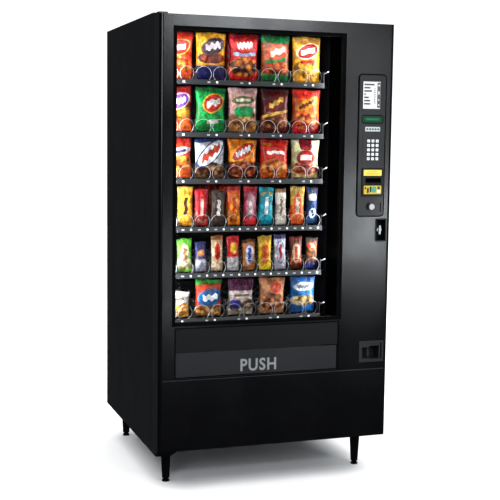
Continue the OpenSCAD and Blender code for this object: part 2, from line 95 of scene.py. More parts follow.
class Graph:
    """A material's node tree, with short calls for the nodes that the finishes use."""

    def __init__(self, name):
        self.material = bpy.data.materials.new(name)
        self.material.use_nodes = True
        self.tree = self.material.node_tree
        self.bsdf = self.tree.nodes["Principled BSDF"]
        self.place = self.node("ShaderNodeTexCoord").outputs["Object"]

    def node(self, kind, inputs=None, **settings):
        made = self.tree.nodes.new(kind)
        for key, value in settings.items():
            setattr(made, key, value)
        for key, value in (inputs or {}).items():
            self.put(made.inputs[key], value)
        return made

    def put(self, socket, value):
        if isinstance(value, bpy.types.NodeSocket):
            self.tree.links.new(value, socket)
        else:
            socket.default_value = value

    def set(self, name, value):
        self.put(self.bsdf.inputs[name], value)

    def math(self, operation, a, b=0.0, c=0.0):
        return self.node("ShaderNodeMath", {0: a, 1: b, 2: c}, operation=operation).outputs[0]

    def gap(self, a, b):
        """How far apart two values are."""
        return self.math("ABSOLUTE", self.math("SUBTRACT", a, b))

    def mix(self, factor, a, b):
        made = self.node("ShaderNodeMix", {0: factor, 6: a, 7: b}, data_type="RGBA")
        return made.outputs[2]

    def split(self, vector):
        return self.node("ShaderNodeSeparateXYZ", {0: vector}).outputs

    def spread(self, value, low, high, to_low, to_high):
        """The value, taken smoothly from one range to another."""
        made = self.node("ShaderNodeMapRange", {0: value, 1: low, 2: high, 3: to_low, 4: to_high})
        made.interpolation_type = "SMOOTHSTEP"
        return made.outputs[0]

    def noise(self, scale, detail=3.0, where=None, rough=0.5):
        inputs = {"Scale": scale, "Detail": detail, "Roughness": rough, "Vector": where or self.place}
        return self.node("ShaderNodeTexNoise", inputs).outputs["Fac"]

    def bump(self, height, distance, strength=1.0):
        inputs = {"Height": height, "Distance": distance, "Strength": strength}
        self.put(self.bsdf.inputs["Normal"], self.node("ShaderNodeBump", inputs).outputs[0])

    def edge_wear(self, radius):
        """Bright on convex edges, where paint rubs thin."""
        bevel = self.node("ShaderNodeBevel", {"Radius": radius}, samples=4).outputs[0]
        normal = self.node("ShaderNodeNewGeometry").outputs["Normal"]
        both = {0: bevel, 1: normal}
        dot = self.node("ShaderNodeVectorMath", both, operation="DOT_PRODUCT").outputs["Value"]
        return self.spread(dot, 0.99, 0.80, 0.0, 1.0)


# ---- Finishes ----

CLOUD_SCALE = 6
WEAR_RADIUS = 1.2 * MM
FOOT_EDGE = 0.5 * MM


def surface(name, colour, rough, vary=0.15, grain=900, depth=0.00004, metal=0.0, wear=None, specular=0.5,
            foot=None):
    """A painted, moulded or metal surface: patchy tone, uneven gloss, fine grain and worn edges.

    foot is a height in metres, with the roughness of the finish below it and a darker colour there, which is
    painted shade.
    """
    g = Graph(name)
    tone = linear(colour)
    cloud = g.noise(CLOUD_SCALE, 4)
    base = g.mix(cloud, scaled(tone, 1 - vary), scaled(tone, 1 + vary))
    fine = g.noise(grain, 2)
    uneven = g.spread(cloud, 0.3, 0.7, rough * 0.88, rough * 1.12)
    shine = g.math("ADD", uneven, g.math("MULTIPLY", fine, 0.06))
    if wear:
        worn = g.math("MULTIPLY", g.edge_wear(WEAR_RADIUS), g.spread(g.noise(35, 5), 0.45, 0.7, 0.0, 0.8))
        base = g.mix(worn, base, linear(wear))
    if foot:
        height, foot_shade_colour, foot_rough = foot
        upper = g.spread(g.split(g.place)[2], height - FOOT_EDGE, height, 0.0, 1.0)
        # Painted shade: below the foot's height the colour is darker.
        base = g.mix(upper, linear(foot_shade_colour), base)
        change = g.math("MULTIPLY_ADD", upper, rough - foot_rough, foot_rough - rough)
        shine = g.math("ADD", shine, change)
    g.set("Base Color", base)
    g.set("Roughness", shine)
    g.set("Metallic", metal)
    g.set("Specular IOR Level", specular)
    g.bump(fine, depth)
    return g.material


def brushed(name, colour, rough, across=(1, 60, 60)):
    """Bare metal with fine drawn lines along one axis."""
    g = Graph(name)
    stretched = g.node("ShaderNodeMapping", {"Vector": g.place, "Scale": across}).outputs[0]
    lines = g.noise(40, 6, stretched, 0.7)
    tone = linear(colour)
    g.set("Base Color", g.mix(lines, scaled(tone, 0.8), tone))
    g.set("Metallic", 1.0)
    g.set("Roughness", g.spread(lines, 0.3, 0.7, rough * 0.8, rough * 1.3))
    g.bump(lines, 0.00003)
    return g.material


def clear(name, tint, alpha, rough=0.02):
    """Thin clear sheet: mostly see-through, with a faint smear of dust."""
    g = Graph(name)
    smear = g.noise(9, 5)
    g.set("Base Color", linear(tint))
    g.set("Roughness", g.spread(smear, 0.35, 0.75, rough, rough + 0.06))
    g.set("Specular IOR Level", 0.25)
    g.set("Alpha", g.spread(smear, 0.3, 0.8, alpha, alpha * 1.25))
    return g.material


def gloss_paint(name, foot=None):
    return surface(name, "0b0b0c", 0.2, vary=0.12, grain=700, depth=0.00005, wear="3a3a3c", specular=0.3,
                   foot=foot)


def printed(name, colour, rough=0.45, vary=0.04, grain=1400):
    """Ink or card, with a fine paper grain."""
    return surface(name, colour, rough, vary=vary, grain=grain, depth=0.00002)


KICK_TOP = 0.434
PAINT = gloss_paint("black_paint")
# Below KICK_TOP the door is rougher, and darker in colour as painted shade on the kick panel.
DOOR_PAINT = gloss_paint("door_paint", foot=(KICK_TOP, "08080b", 0.24))
SIDE_PAINT = surface("side_paint", "0b0b0d", 0.40, vary=0.12, grain=700, depth=0.00005, wear="333335")
# The ledge's grey, lighter than the door's black, is a painted highlight along the kick panel's edge; its
# edges also wear.
LEDGE_HIGHLIGHT_PAINT = surface("ledge_highlight_paint", "2a2a2c", 0.4, vary=0.2, wear="6a6a6c")
LINER = surface("liner_paint", "28282c", 0.5, vary=0.2, grain=500, specular=0.3)
TRAY_PAINT = surface("tray_paint", "1d1d1f", 0.5, vary=0.2, wear="4a4a4c")
RAIL = surface("rail_plastic", "232426", 0.42, vary=0.12, grain=1200, depth=0.00003)
GREY_PAINT = surface("grey_paint", "55575a", 0.5, wear="8a8c8e")
BLACK_PLASTIC = surface("black_plastic", "101011", 0.38, grain=1400, depth=0.00006, specular=0.3)
PANEL_PLASTIC = surface("panel_plastic", "1b1c1e", 0.30, vary=0.10, grain=1500, depth=0.00005,
                        wear="3c3d40", specular=0.32)
FLAP_PLASTIC = surface("flap_plastic", "202023", 0.36, vary=0.12, grain=1200, depth=0.00005, wear="3e3e40")
RUBBER = surface("rubber", "060607", 0.85, vary=0.2, depth=0.00008, specular=0.12)
MOTOR = surface("motor_plastic", "d8d8d4", 0.45, vary=0.06)
KEY = surface("key_plastic", "f2f3f4", 0.3, vary=0.03, depth=0.00002)
ZINC = brushed("zinc_steel", "b4b6b8", 0.38)
CHROME = brushed("bright_metal", "a2a3a5", 0.40, across=(30, 1, 30))
WIRE = surface("spiral_wire", "b0b1b3", 0.30, vary=0.08, grain=800, depth=0.00002, metal=0.6)
GLASS = clear("window_glass", "0a0c0c", 0.04)
CARD_COVER = clear("card_cover", "f4f6f6", 0.05, 0.05)
WHITE_CARD = printed("white_card", "f1f1ee", 0.55, 0.03, 1500)
INK = surface("dark_ink", "2b2b2d", 0.5, vary=0.2, grain=1500, depth=0.00001)
PUSH_INK = printed("push_ink", "8e9092", vary=0.08, grain=1200)
PRICE_CARD = printed("price_card", "e9e9e6", 0.5, grain=1200)
TAG_CARD = printed("tag_card", "a9aaab", 0.5, 0.06, 1200)
YELLOW = printed("yellow_label", "f6e160")
PALE = printed("pale_label", "c9d3cc", vary=0.06)
TEAL = printed("teal_ink", "4aa890", vary=0.1)
OCHRE = printed("ochre_ink", "d6ba3a", vary=0.15)


def glowing_lens():
    """Dark green display window, with a dim lit line of blocks behind it."""
    g = Graph("display_lens")
    axes = g.split(g.place)
    (left, right), (low, high), _ = extent("display_lens")
    middle = at((left + right) / 2, 0, (low + high) / 2)
    up = g.gap(axes[2], middle.z)
    out = g.gap(axes[0], middle.x)
    line = g.math("MULTIPLY", g.spread(up, 0.006, 0.003, 0.0, 1.0), g.spread(out, 0.034, 0.026, 0.0, 1.0))
    blocks = g.spread(g.math("SINE", g.math("MULTIPLY", axes[0], 900.0)), -0.4, 0.2, 0.25, 1.0)
    lit = g.math("MULTIPLY", line, blocks)
    g.set("Base Color", g.mix(lit, linear("06301f"), linear("1c7a50")))
    g.set("Roughness", g.spread(g.noise(40, 3), 0.3, 0.7, 0.3, 0.4))
    g.set("Specular IOR Level", 0.2)
    g.set("Emission Color", linear("12683f"))
    g.set("Emission Strength", g.math("MULTIPLY_ADD", lit, 0.35, 0.12))
    return g.material


FINISHES = (
    (SIDE_PAINT, "left_side_panel right_side_panel back_panel top_panel base_pan front_frame"),
    (PAINT, "legs hinge_brackets"),
    (DOOR_PAINT, "door_frame"),
    (LINER, "compartment_wall tray_runners"),
    (RAIL, "price_rails"),
    (GREY_PAINT, "coin_mechanism delivery_baffle"),
    (MOTOR, "spiral_motors"),
    (ZINC, "bolt_receiver power_supply"),
    (CHROME, "coin_return_button t_handle"),
    (RUBBER, "leveling_feet window_gasket"),
    (GLASS, "window_glass"),
    (BLACK_PLASTIC, "power_inlet fascia_panel delivery_bin bill_validator handle_pocket"),
    (PANEL_PLASTIC, "selection_bezel keypad_plate"),
    (FLAP_PLASTIC, "coin_cup push_flap"),
    (WHITE_CARD, "instruction_card"),
    (glowing_lens(), "display_lens"),
    (TRAY_PAINT, " ".join(f"tray_{i + 1}" for i in range(TRAYS))),
    (KEY, " ".join(f"key_{i + 1}" for i in range(KEYS))),
)

# Bevel widths in millimetres
BEVELS = (
    (1.5, "coin_return_button"),
    (1.2, "selection_bezel push_flap fascia_panel t_handle"),
    (1.0, "coin_cup bill_validator"),
    (0.8, "handle_pocket top_panel left_side_panel front_frame"),
    (0.8, " ".join(f"key_{i + 1}" for i in range(KEYS))),
)


def dress(node, material):
    """Gives a CAD node its finish."""
    slots = NODES[node].data.materials
    slots.clear()
    slots.append(material)


def soften(node, width):
    """A small bevel, so that the node's edges catch the light."""
    bevel = NODES[node].modifiers.new("edges", "BEVEL")
    bevel.width = width * MM
    bevel.segments = 2
    bevel.limit_method = "ANGLE"
    bevel.angle_limit = math.radians(40)


for finish, names in FINISHES:
    for node_name in names.split():
        dress(node_name, finish)
for bevel_width, names in BEVELS:
    for node_name in names.split():
        soften(node_name, bevel_width)


# ---- Mesh helpers ----

CORNERS = ((1, 1), (-1, 1), (-1, -1), (1, -1))


def piece(name, bm, materials, body, flat=False):
    """Turns a bmesh in the shared frame into a piece that rides on a body."""
    mesh = bpy.data.meshes.new(name)
    bmesh.ops.recalc_face_normals(bm, faces=bm.faces)
    bm.to_mesh(mesh)
    bm.free()
    obj = bpy.data.objects.new(name, mesh)
    link(obj)
    for material in materials:
        mesh.materials.append(material)
    if not flat:
        for polygon in mesh.polygons:
            polygon.use_smooth = True
    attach(obj, body)
    return obj


def round_outline(x, z, corner, steps, reach=None):
    """Points round a rectangle with its corners rounded, moved out to reach from each corner's middle."""
    reach = corner if reach is None else reach
    points = []
    for turn, (sx, sz) in enumerate(CORNERS):
        middle_x = x[1] - corner if sx > 0 else x[0] + corner
        middle_z = z[1] - corner if sz > 0 else z[0] + corner
        for k in range(steps + 1):
            a = math.radians(90 * turn + (90 * k / steps if steps else 0))
            points.append((middle_x + reach * math.cos(a), middle_z + reach * math.sin(a)))
    return points


def bridge(bm, ring, other):
    """The faces between two closed rings of points."""
    count = len(ring)
    return [bm.faces.new((ring[k], ring[(k + 1) % count], other[(k + 1) % count], other[k]))
            for k in range(count)]


def slab(bm, x, y, z, corner=0.0, index=0, lean=None):
    """A plate facing the front, x by z, with round corners; y is its front and back."""
    outline = round_outline(x, z, corner, 4 if corner else 0)
    lean = lean or Matrix.Identity(4)
    front, back = ([bm.verts.new(lean @ at(px, depth, pz)) for px, pz in outline] for depth in y)
    faces = [bm.faces.new(front), bm.faces.new(list(reversed(back)))] + bridge(bm, front, back)
    for face in faces:
        face.material_index = index


def border(bm, x, y, z, width, corner):
    """A flat band round the outside of a rectangle; y is its front and back."""
    inner_front, inner_back, outer_front, outer_back = (
        [bm.verts.new(at(px, depth, pz)) for px, pz in round_outline(x, z, corner, 6, corner + grow)]
        for grow in (0.0, width) for depth in y)
    bridge(bm, inner_front, outer_front)
    bridge(bm, outer_front, outer_back)
    bridge(bm, outer_back, inner_back)
    bridge(bm, inner_back, inner_front)


def tube(bm, path, radius, sides=8):
    """A round bar swept along points in the shared frame, closed at both ends."""
    rings = []
    normal = None
    for k, point in enumerate(path):
        ahead = path[min(k + 1, len(path) - 1)] - path[max(k - 1, 0)]
        ahead.normalize()
        if normal is None:
            normal = ahead.orthogonal().normalized()
        normal = (normal - ahead * normal.dot(ahead)).normalized()
        binormal = ahead.cross(normal)
        ring = []
        for s in range(sides):
            a = 2 * math.pi * s / sides
            ring.append(bm.verts.new(point + (normal * math.cos(a) + binormal * math.sin(a)) * radius))
        rings.append(ring)
    bm.faces.new(list(reversed(rings[0])))
    bm.faces.new(rings[-1])
    for low, high in zip(rings, rings[1:]):
        bridge(bm, low, high)


# ---- Camera ----

LENS = 79.19
SENSOR = 36
CAMERA_PLACE = at(-1032.1, -3994.6, 1366.3)
YAW, PITCH, ROLL = (math.radians(a) for a in (19.244, -5.848, 0.753))


def place_camera():
    """Sets the camera turned to the right by yaw, up by pitch and clockwise by roll."""
    data = bpy.data.cameras.new("camera")
    data.sensor_width = SENSOR
    data.lens = LENS
    camera = bpy.data.objects.new("camera", data)
    link(camera)
    ahead = Vector((math.sin(YAW) * math.cos(PITCH), math.cos(YAW) * math.cos(PITCH), math.sin(PITCH)))
    level = Vector((math.cos(YAW), -math.sin(YAW), 0))
    upward = level.cross(ahead)
    right = level * math.cos(ROLL) + upward * math.sin(ROLL)
    upward = upward * math.cos(ROLL) - level * math.sin(ROLL)
    turned = Matrix((right, upward, -ahead)).transposed().to_4x4()
    camera.matrix_world = Matrix.Translation(CAMERA_PLACE) @ turned
    bpy.context.scene.camera = camera


place_camera()

# ---- Spirals ----

(TRAY_X, TRAY_RIGHT), _, TRAY_FRONT = extent("tray_1")
TRAY_W = TRAY_RIGHT - TRAY_X
COIL_FRONT = TRAY_FRONT + 4
RAIL_H = 20
RAIL_TOPS = [extent(f"tray_{i + 1}")[1][0] + RAIL_H for i in range(TRAYS)]
BAR_ROWS = (3, 4)
BAG_SELECTIONS = 5
BAR_SELECTIONS = 10

# Radius, pitch and turns
BAG_COIL = (30, 55, 10)
BAR_COIL = (29, 45, 12)
WIRE_R = 1.1
COIL_STEPS = 20

# How far a spiral's lowest wire middle lies below the top of its rail
COIL_DROP = 12 - 0.7 - 2

# The selections that work, and the bodies of their spirals and of their queue, with its length
WORKING = {(0, 2): ("bag_spiral_left", "bag_spiral_right"), (3, 4): ("bar_spiral",)}
QUEUES = {(0, 2): ("bag_queue", 9), (3, 4): ("bar_queue", 11)}


def is_bar(row):
    return row in BAR_ROWS


def count_of(row):
    return BAR_SELECTIONS if is_bar(row) else BAG_SELECTIONS


def selection_x(row, i):
    return TRAY_X + (i + 0.5) * TRAY_W / count_of(row)


def coil_size(row):
    return BAR_COIL if is_bar(row) else BAG_COIL


def coil_axis_z(row):
    return RAIL_TOPS[row] - COIL_DROP + coil_size(row)[0]


def coils_at(row, i):
    """Where a selection's spirals stand and which way each is wound."""
    x = selection_x(row, i)
    gap = TRAY_W / BAG_SELECTIONS / 4
    return [(x, 1)] if is_bar(row) else [(x - gap, 1), (x + gap, -1)]


def coil_path(row, x, hand, working):
    """The wire's middle: a flat half turn in front of a fixed one, the turns, and a tail on the axis."""
    radius, pitch, turns = coil_size(row)
    z = coil_axis_z(row)
    points = []
    for k in range(0 if working else -COIL_STEPS // 2, turns * COIL_STEPS + 1):
        a = 2 * math.pi * k / COIL_STEPS - math.pi
        y = COIL_FRONT + pitch * max(k, 0) / COIL_STEPS
        points.append(at(x + hand * radius * math.sin(a), y, z - radius * math.cos(a)))
    end = COIL_FRONT + pitch * turns
    points += [at(x, end, z + radius * f) for f in (0.6, 0.25, 0.08)]
    points += [at(x, end + 2, z), at(x, end + 7, z)]
    return points


def add_spirals(row):
    """A row's spirals: the fixed ones in one piece, and each working one riding on its own body."""
    fixed = bmesh.new()
    for i in range(count_of(row)):
        bodies = WORKING.get((row, i))
        for k, (x, hand) in enumerate(coils_at(row, i)):
            if not bodies:
                tube(fixed, coil_path(row, x, hand, False), WIRE_R * MM, 6)
                continue
            single = bmesh.new()
            tube(single, coil_path(row, x, hand, True), WIRE_R * MM)
            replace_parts(piece(f"{bodies[k]}_wire", single, [WIRE], bodies[k]), bodies[k])
    piece(f"row_{row + 1}_spirals", fixed, [WIRE], "cabinet")


for row in range(TRAYS):
    add_spirals(row)


# ---- Printed film ----

class Film(Graph):
    """Printed film, drawn over the pack's own u, from left to right, and v, from bottom to top."""

    def __init__(self, name):
        super().__init__(name)
        self.uv = self.split(self.node("ShaderNodeUVMap", uv_map="print").outputs[0])
        self.wave = self.noise(14, 2)
        self.u = self.math("ADD", self.uv[0], self.math("MULTIPLY_ADD", self.wave, 0.08, -0.04))
        self.v = self.math("ADD", self.uv[1], self.math("MULTIPLY_ADD", self.wave, 0.10, -0.05))

    def oval(self, centre, size, lean=0.0, power=2.0):
        """Rises from 0 in an oval's middle through 1 on its edge, with the way across and up from there."""
        across = self.math("SUBTRACT", self.u, centre[0])
        level = self.math("SUBTRACT", self.v, centre[1])
        up = self.math("SUBTRACT", level, self.math("MULTIPLY", across, lean))
        x = self.math("POWER", self.math("ABSOLUTE", self.math("DIVIDE", across, size[0])), power)
        z = self.math("POWER", self.math("ABSOLUTE", self.math("DIVIDE", up, size[1])), power)
        return self.math("ADD", x, z), across, up

    def bands(self, low, main, top, split, cap):
        """Three bands of colour, with soft edges at split and at cap."""
        base = self.mix(self.spread(self.v, split - 0.03, split + 0.03, 0.0, 1.0), linear(low), linear(main))
        return self.mix(self.spread(self.v, cap - 0.015, cap + 0.015, 0.0, 1.0), base, linear(top))

    def heap(self, base, food, food_shade, food_at, food_h):
        """A heap of lumps across the pack."""
        cells = self.node("ShaderNodeTexVoronoi", {"Vector": self.place, "Scale": 48.0})
        distance = cells.outputs["Distance"]
        lump = self.split(cells.outputs["Color"])[0]
        mixed = self.math("MULTIPLY_ADD", lump, 0.55, self.spread(distance, 0.15, 0.7, -0.15, 0.75))
        shade = self.mix(mixed, linear(food), linear(food_shade))
        shade = self.mix(self.spread(distance, 0.55, 0.85, 0.0, 0.8), shade, (0.02, 0.008, 0.004, 1))
        inside = self.oval((0.5, food_at), (0.5, food_h))[0]
        edge = self.math("ADD", inside, self.math("MULTIPLY", self.wave, 0.9))
        return self.mix(self.spread(edge, 1.6, 1.25, 0.0, 1.0), base, shade)

    def badge(self, base, colours, centre, size, tilt, upright, beat):
        """A rimmed oval with a plain waved bar in it."""
        fill, rim, mark = (linear(code) for code in colours)
        disc, across, up = self.oval(centre, size, tilt)
        base = self.mix(self.spread(disc, 1.36, 1.28, 0.0, 1.0), base, rim)
        base = self.mix(self.spread(disc, 1.04, 0.96, 0.0, 1.0), base, fill)
        run, rise = (up, across) if upright else (across, up)
        length, height = (size[1], size[0]) if upright else size
        swing = self.math("SINE", self.math("MULTIPLY", run, beat))
        bar = self.math("ABSOLUTE", self.math("ADD", rise, self.math("MULTIPLY", swing, height * 0.14)))
        along_bar = self.spread(self.math("ABSOLUTE", run), length * 0.76, length * 0.68, 0.0, 1.0)
        inside = self.math("MULTIPLY", self.spread(bar, height * 0.44, height * 0.34, 0.0, 1.0), along_bar)
        return self.mix(inside, base, mark)

    def crinkle(self):
        """The film's gloss, its creases, the ribs of its end seals and the pleats that run from them."""
        crease = self.noise(55, 4, rough=0.6)
        self.set("Roughness", self.spread(crease, 0.3, 0.7, 0.2, 0.36))
        self.set("Specular IOR Level", 0.28)
        ribs = self.math("SINE", self.math("MULTIPLY", self.uv[0], 330.0))
        low_seal = self.spread(self.uv[1], 0.05, 0.035, 0.0, 0.4)
        top_seal = self.spread(self.uv[1], 0.95, 0.965, 0.0, 0.4)
        fan = self.math("MULTIPLY_ADD", self.wave, 34.0, self.math("MULTIPLY", self.uv[0], 46.0))
        ends = self.spread(self.gap(self.uv[1], 0.5), 0.2, 0.46, 0.0, 0.5)
        ribbed = self.math("MULTIPLY", ribs, self.math("ADD", low_seal, top_seal))
        relief = self.math("ADD", ribbed, self.math("MULTIPLY", self.math("SINE", fan), ends))
        self.bump(self.math("MULTIPLY_ADD", crease, 1.6, relief), 0.0011)


def print_film(name, main, low, top, badge, rim, mark, food=None, food_shade=None, split=0.30, cap=0.88,
               badge_at=(0.5, 0.66), badge_size=(0.36, 0.15), tilt=0.15, food_at=0.28, food_h=0.2,
               upright=False, patch=None, patch_at=(0.5, 0.45), patch_size=(0.3, 0.1), beat=40.0):
    """One pack's film: bands, and over them a heap of food, a patch and a badge, then dark patches of
    painted wrinkle shade.
    """
    g = Film(name)
    base = g.bands(low, main, top, split, cap)
    if food:
        base = g.heap(base, food, food_shade, food_at, food_h)
    if patch:
        block = g.oval(patch_at, patch_size, tilt * 0.5, 4.0)[0]
        base = g.mix(g.spread(block, 1.1, 0.9, 0.0, 1.0), base, linear(patch))
    base = g.badge(base, (badge, rim, mark), badge_at, badge_size, tilt, upright, beat)
    # Painted shade: dark patches over the print stand for the shade in the film's wrinkles, as well as for
    # some printed shading.
    wrinkle_shade_patches = g.spread(g.noise(44, 4, rough=0.62), 0.44, 0.60, 0.58, 0.0)
    g.set("Base Color", g.mix(wrinkle_shade_patches, base, (0.03, 0.012, 0.01, 1)))
    g.crinkle()
    return g.material


# ---- Pack shapes ----

# Side outlines from bottom to top: the part of the height, and half the thickness in millimetres
BAG_OUTLINE = ((0, 1.0), (0.045, 2.0), (0.11, 8.5), (0.29, 19), (0.45, 22), (0.6, 21.5), (0.78, 14),
               (0.9, 6), (0.955, 1.2), (1, 0.8))
BAR_OUTLINE = ((0, 0.8), (0.045, 1.5), (0.14, 6), (0.34, 10.5), (0.5, 11.5), (0.7, 11), (0.88, 6),
               (0.955, 1.2), (1, 0.6))


def along(outline, v):
    """The value at v on a curve through a few points."""
    for (v0, t0), (v1, t1) in zip(outline, outline[1:]):
        if v <= v1:
            return t0 + (t1 - t0) * (0.5 - 0.5 * math.cos(math.pi * (v - v0) / (v1 - v0)))
    return outline[-1][1]


def pillow_point(u, v, side, size, outline, phase, seed):
    """A point of a pack's film: u runs across from -1 to 1, v up from 0 to 1, side is front or back."""
    width, height = size
    half = along(outline, v)
    pinch = 0.985 - 0.085 * math.sin(math.pi * v) ** 1.2 + 0.012 * math.sin(9 * v + phase[0])
    near_top = math.exp(-(1 - v) / 0.13)
    near_foot = math.exp(-v / 0.11)
    bulge = half * (1 - abs(u) ** 2.3) ** 0.62
    crease = 2.2 * near_top * math.sin(11 * u + phase[1]) + 1.6 * near_foot * math.sin(13 * u + phase[2])
    dent = 3.4 * noise.noise(Vector((u * 1.9 + seed, v * 4.2, side * 3.1)))
    folds = (crease + side * dent * clamp(half / 12)) * min(1, half / 4) * (1 - abs(u) ** 6)
    sag = (1.8 * math.sin(4.5 * u + phase[3]) + 2.2 * u * math.sin(phase[0])) * near_top
    return Vector((width / 2 * u * pinch, side * bulge + folds, height * v + sag))


def pillow(bm, place, size, outline, seed, index, counts, roll):
    """A sealed film pack: full in the middle, crimped flat at both ends and creased at its corners."""
    layer = bm.loops.layers.uv.get("print") or bm.loops.layers.uv.new("print")
    rng = random.Random(seed)
    phase = [rng.uniform(0, 2 * math.pi) for _ in range(4)]
    turn = Matrix.Rotation(math.radians(roll), 3, "Y")
    x, y, z = place
    across, up = counts
    rings = []
    for j in range(up + 1):
        ring = []
        for k in range(2 * across):
            front = k < across
            u = -1 + 2 * k / across if front else 1 - 2 * (k - across) / across
            point = turn @ pillow_point(u, j / up, -1 if front else 1, size, outline, phase, seed)
            ring.append(bm.verts.new(at(x + point.x, y + point.y, z + point.z)))
        rings.append(ring)

    def skin(corners):
        face = bm.faces.new([rings[j][k % (2 * across)] for j, k in corners])
        face.material_index = index
        face.smooth = True
        for loop, (j, k) in zip(face.loops, corners):
            u = k / across if k <= across else 2 - k / across
            loop[layer].uv = (u, j / up)

    for j in range(up):
        for k in range(2 * across):
            skin([(j, k), (j, k + 1), (j + 1, k + 1), (j + 1, k)])
    for j in (0, up):
        for k in range(across):
            far = 2 * across - k
            if k == 0:
                skin([(j, 0), (j, 1), (j, far - 1)])
            elif k == across - 1:
                skin([(j, k), (j, across), (j, far)])
            else:
                skin([(j, k), (j, k + 1), (j, far - 1), (j, far)])


# ---- Stock ----

FILM_COLOURS = ("main", "low", "top", "badge", "rim", "mark", "food", "food_shade")
BAR_PRINT = {"badge_at": (0.5, 0.5), "badge_size": (0.3, 0.3), "upright": True, "tilt": 0.0, "split": 0.2}
BEATS = (0.0, 34.0, 52.0, 24.0)


def film(codes, **more):
    """One pack's print: its colours in the order of FILM_COLOURS, and what differs from the usual."""
    return dict(zip(FILM_COLOURS, codes.split())) | more


# Each row of packs from left to right; sizes are parts of the pack's width and height
BAGS = {
    0: [
        film("e2482c e65a2a d63224 c8281e f0c040 f4e4dc f0a050 d04818"),
        film("f0a21e 232c62 f2b43a 35262e 5a4640 cdb9c4 94401c 5c1c10", split=0.3, food_at=0.46,
             food_h=0.13, badge_at=(0.55, 0.7)),
        film("c32127 d02a26 9c1620 c02a24 b81e22 f6f2ee e8873a 50301c", patch="8fa0b8",
             patch_at=(0.5, 0.55), patch_size=(0.42, 0.045), badge_at=(0.5, 0.74), tilt=0.06),
        film("a8572c 1c7f45 1d8048 e0603e b04228 f6e6d8 f08a42 c84c20", split=0.16, cap=0.82,
             patch="1f8c4c", patch_at=(0.5, 0.46), patch_size=(0.36, 0.05), badge_at=(0.55, 0.64),
             food_at=0.3, food_h=0.14),
        film("eda326 f0ac34 f2b85c bd2416 f6ecd8 f8f0e6 f6cf62 dc9420", patch="d03a22",
             patch_at=(0.5, 0.44), patch_size=(0.28, 0.035), badge_at=(0.52, 0.68)),
    ],
    1: [
        film("b6241d d8602c 8c1a18 7c4a9a e4dcea f4f2f6 f0c24a d88a2c", food_at=0.42, food_h=0.15),
        film("109a4c 0e9449 12743c d0361f f2ba42 f6efe6", badge_at=(0.56, 0.64),
             badge_size=(0.34, 0.18), patch="d9d6c4", patch_at=(0.56, 0.24), patch_size=(0.2, 0.05)),
        film("d7a79e c88a4e dcb2ac 5f7a3c 8a6a48 f2ecdc ecc07a 9c6030", split=0.32, patch="179a54",
             patch_at=(0.5, 0.46), patch_size=(0.32, 0.12), badge_at=(0.5, 0.72),
             badge_size=(0.34, 0.08), tilt=0.0),
        film("591216 6c2018 431014 7c1c1c 6a1618 eec95e d9a070 8c4a28", patch="e9b24c",
             patch_at=(0.5, 0.43), patch_size=(0.48, 0.035), badge_at=(0.52, 0.68), tilt=0.35),
        film("e2671e b51d29 dc3324 f0941e e8861c 54301c f0a548 c23c22", split=0.26, cap=0.8,
             badge_at=(0.5, 0.68), badge_size=(0.38, 0.1), tilt=0.3),
    ],
    2: [
        film("d9432a e0642c c22c22 e8e6f0 f0e8e8 5a4a86 f2c24e e0762a", food_at=0.4, food_h=0.18,
             badge_at=(0.5, 0.66), badge_size=(0.42, 0.09)),
        film("d5dade 8c6442 123a72 f2f2f0 17417c b8402c cfa272 5c3420", split=0.36, cap=0.9,
             badge_at=(0.5, 0.62), badge_size=(0.44, 0.22), tilt=0.55, food_at=0.22, food_h=0.2),
        film("ea8a20 4c1c18 d87a1e c63a24 f0ac36 f2eef0 ef9560 7c1f1a", split=0.42,
             badge_at=(0.5, 0.68), badge_size=(0.38, 0.17), tilt=0.4, food_at=0.22, food_h=0.2),
        film("d23222 e0662a b8241c d43424 d83a26 faf4ee f2ae50 e0702c", badge_at=(0.52, 0.64),
             badge_size=(0.44, 0.1), tilt=0.0, patch="eb8a2c", patch_at=(0.25, 0.86),
             patch_size=(0.16, 0.04)),
        film("dfdca2 d7b57a e2e0b4 8e1520 b23a34 e8d0c0 d99a5c 8e2c1e", badge_at=(0.5, 0.54),
             badge_size=(0.3, 0.16), tilt=0.0, patch="7c1222", patch_at=(0.5, 0.88),
             patch_size=(0.22, 0.16)),
    ],
    5: [
        film("e8e2d8 eeb868 f0ece4 cfcac4 d8d4ce 8a7a6c f2c470 d8862c", split=0.5, food_at=0.3,
             food_h=0.26),
        film("d64a32 a8703c 3f9a38 1d5e96 2a76ac f0f4f6 edc98c a86c34", split=0.3, cap=0.86,
             badge_at=(0.52, 0.52), badge_size=(0.42, 0.2), tilt=0.1, food_at=0.18, food_h=0.15),
        film("d8cfc8 cfc4b4 561a44 dcd2cc d4cac4 9c6a52 c8bca4 8a6a50", cap=0.66, split=0.2,
             badge_at=(0.5, 0.54), badge_size=(0.42, 0.07), patch="3c3f92", patch_at=(0.26, 0.3),
             patch_size=(0.2, 0.12), tilt=0.0),
        film("c98d64 d8a276 bb7a50 dc3a26 d84a30 e8785c e8b08a 9c5a3c", badge_at=(0.62, 0.72),
             badge_size=(0.2, 0.12), tilt=0.0, food_at=0.34, food_h=0.24),
        film("1b74b6 1a6cae 1a5a9c eceef0 3a86c2 8a949e efe0b4 c8a468", badge_at=(0.52, 0.72),
             badge_size=(0.42, 0.12), tilt=0.05, food_at=0.34, food_h=0.15),
    ],
}
